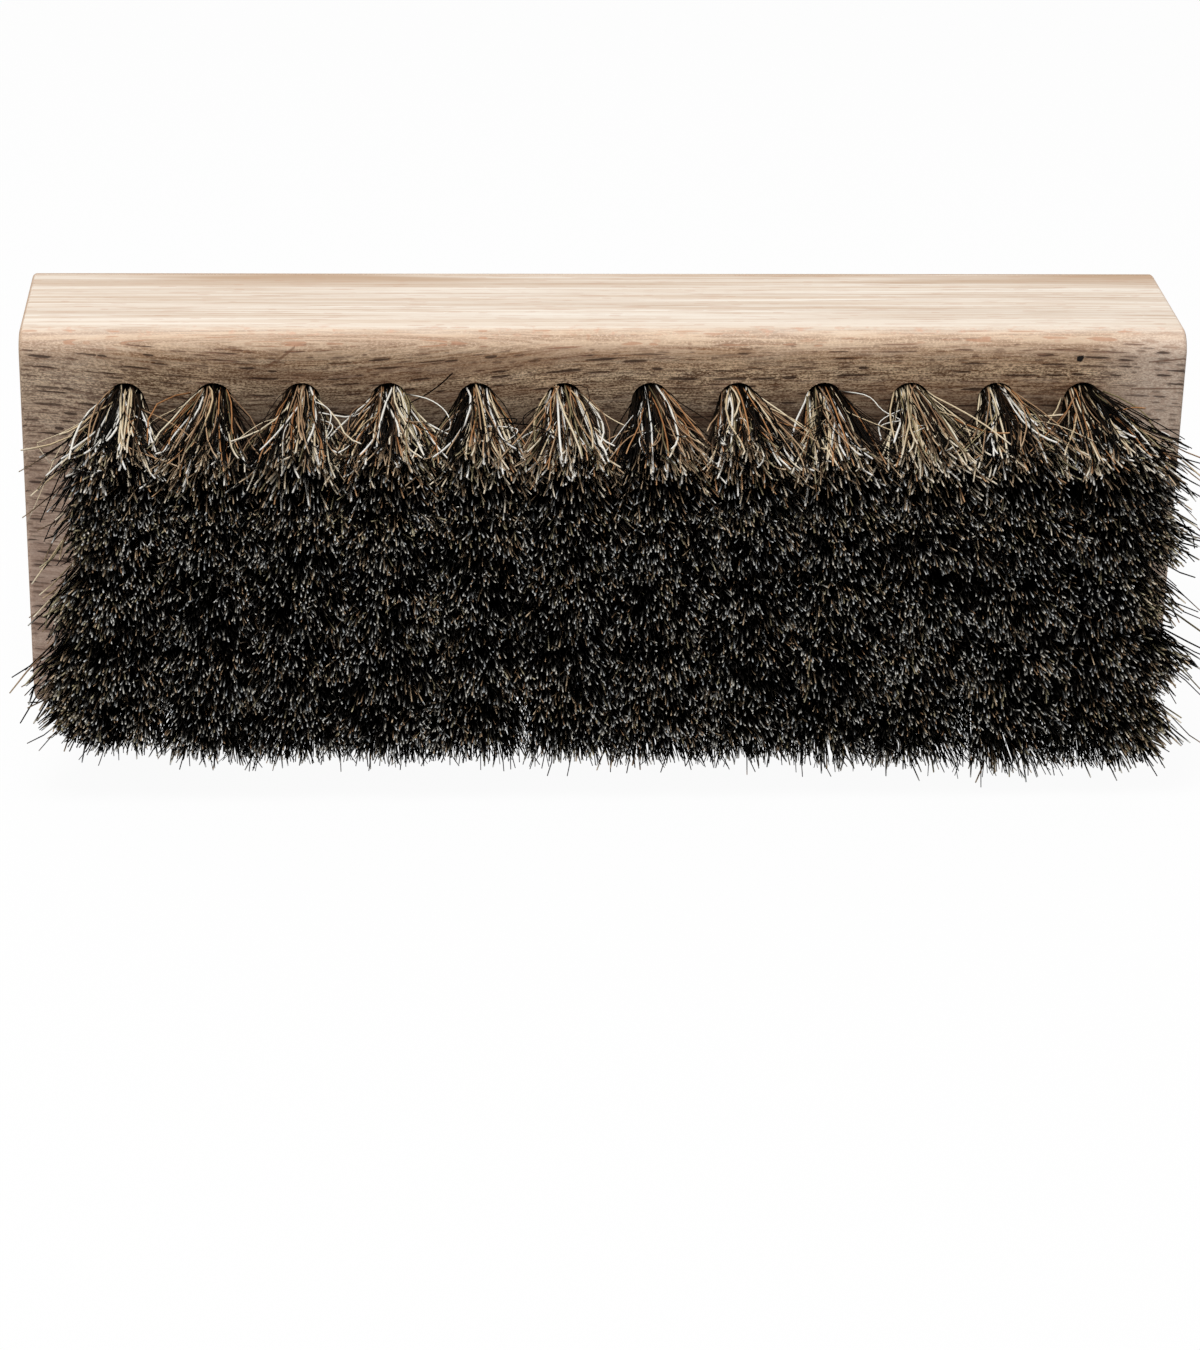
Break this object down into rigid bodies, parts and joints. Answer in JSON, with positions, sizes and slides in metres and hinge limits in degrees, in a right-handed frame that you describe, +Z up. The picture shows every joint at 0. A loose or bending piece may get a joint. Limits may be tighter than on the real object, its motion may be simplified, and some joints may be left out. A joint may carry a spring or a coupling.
{
  "type": "shoe shine brush",
  "caption": "Shoe shine brush: a rectangular beech block with rounded long edges and straight rows of flared dark bristle tufts, shown standing on a long side.",
  "frame": {"origin": "on the surface that the brush stands on, under the middle of the whole brush", "axes": "+X along the block's length, +Z up across its width, bristles pointing to -Y"},
  "size_m": [0.15, 0.057, 0.052],
  "materials": {
    "beech": "bare fine-sanded beech, fine grain and short dark flecks",
    "bristle": "natural hair, mostly near black, mixed with brown, tan and cream hairs",
    "anchor_wire": "flat drawn steel wire"
  },
  "bodies": {
    "root": {"wood_block": "beech", "bristle_tufts_01": "bristle", "bristle_tufts_02": "bristle", "bristle_tufts_03": "bristle", "bristle_tufts_04": "bristle", "bristle_tufts_05": "bristle", "bristle_tufts_06": "bristle", "bristle_tufts_07": "bristle", "bristle_tufts_08": "bristle", "bristle_tufts_09": "bristle", "bristle_tufts_10": "bristle", "bristle_tufts_11": "bristle", "bristle_tufts_12": "bristle", "tuft_anchors_01": "anchor_wire", "tuft_anchors_02": "anchor_wire", "tuft_anchors_03": "anchor_wire", "tuft_anchors_04": "anchor_wire", "tuft_anchors_05": "anchor_wire", "tuft_anchors_06": "anchor_wire", "tuft_anchors_07": "anchor_wire", "tuft_anchors_08": "anchor_wire", "tuft_anchors_09": "anchor_wire", "tuft_anchors_10": "anchor_wire", "tuft_anchors_11": "anchor_wire", "tuft_anchors_12": "anchor_wire"}
  },
  "joints": []
}
